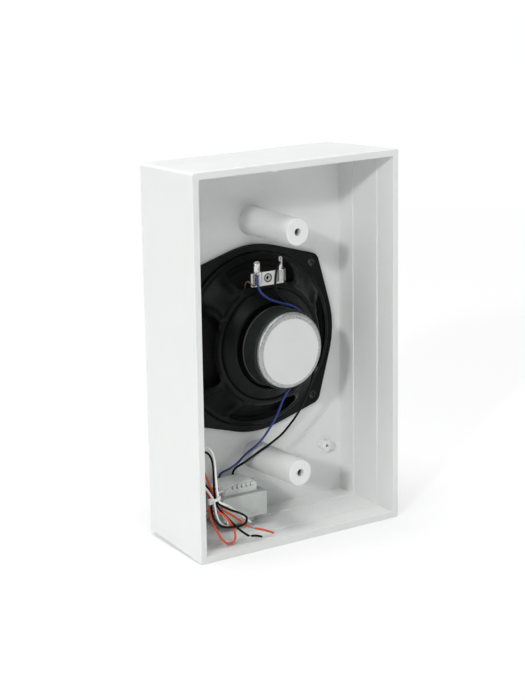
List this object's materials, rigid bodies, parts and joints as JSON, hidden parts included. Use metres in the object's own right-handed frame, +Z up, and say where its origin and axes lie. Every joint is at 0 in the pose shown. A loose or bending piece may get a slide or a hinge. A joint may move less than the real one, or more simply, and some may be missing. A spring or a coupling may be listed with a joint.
{
  "type": "wall loudspeaker",
  "caption": "Open-backed wall loudspeaker: a drafted moulded cabinet with a round cone driver behind a slotted grille, a line transformer and a tied bundle of loose supply leads.",
  "frame": {"origin": "bottom centre of the cabinet's box: midway across the width and the depth, at the lowest edge of the rear rim", "axes": "+Z up along the height, -Y out of the front grille, +Y out of the open back, +X to the left as seen from behind"},
  "size_m": [0.1708, 0.0764, 0.27],
  "materials": {
    "cabinet_plastic": "satin moulded",
    "grille_paint": "satin paint",
    "gasket_foam": "matt",
    "basket_paint": "satin black paint",
    "screw_steel": "black zinc",
    "plate_steel": "bright zinc",
    "ferrite": "matt ceramic",
    "label_paper": "matt",
    "cone_paper": "matt",
    "former_paper": "matt",
    "copper": "enamelled",
    "surround_cloth": "matt",
    "spider_cloth": "varnished",
    "board_paper": "satin",
    "tinned": "tinned",
    "clear_sleeve": "clear soft plastic",
    "core_steel": "varnished",
    "bobbin_plastic": "satin",
    "winding_tape": "taped",
    "bracket_steel": "satin zinc",
    "lead_blue": "satin",
    "lead_black": "satin",
    "lead_white": "satin",
    "lead_red": "satin",
    "tie_plastic": "satin"
  },
  "bodies": {
    "speaker": {"cabinet": "cabinet_plastic", "front_grille": "grille_paint", "driver_gasket": "gasket_foam", "driver_basket": "basket_paint", "driver_screws": "screw_steel", "magnet_top_plate": "plate_steel", "ferrite_magnet": "ferrite", "magnet_yoke": "plate_steel", "magnet_label": "label_paper", "surround": "surround_cloth", "spider": "spider_cloth", "terminal_board": "board_paper", "terminal_eyelet": "tinned", "solder_tag_left": "tinned", "solder_tag_right": "tinned", "tag_sleeve_left": "clear_sleeve", "tag_sleeve_right": "clear_sleeve", "transformer_core": "core_steel", "transformer_bobbin": "bobbin_plastic", "transformer_winding": "winding_tape", "transformer_bracket": "bracket_steel", "transformer_pins": "tinned", "transformer_screws": "screw_steel", "driver_lead_blue": "lead_blue", "driver_lead_black": "lead_black", "supply_lead_white": "lead_white", "supply_lead_black": "lead_black", "supply_lead_red": "lead_red", "bare_strand_white": "tinned", "bare_strand_black": "tinned", "bare_strand_red": "tinned", "insulation_slug_black": "lead_black", "insulation_slug_red": "lead_red", "cable_tie": "tie_plastic", "tinsel_lead_left": "copper", "tinsel_lead_right": "copper"},
    "cone_assembly": {"cone": "cone_paper", "dust_cap": "cone_paper", "voice_coil_former": "former_paper", "voice_coil_winding": "copper"}
  },
  "joints": [
    {"name": "cone_travel", "type": "slide", "parent": "speaker", "child": "cone_assembly", "axis": [0, 1, 0], "range_m": [-0.002, 0.002], "stiffness_N_per_m": 1000, "deforming": ["surround", "spider", "tinsel_lead_left", "tinsel_lead_right"]}
  ]
}
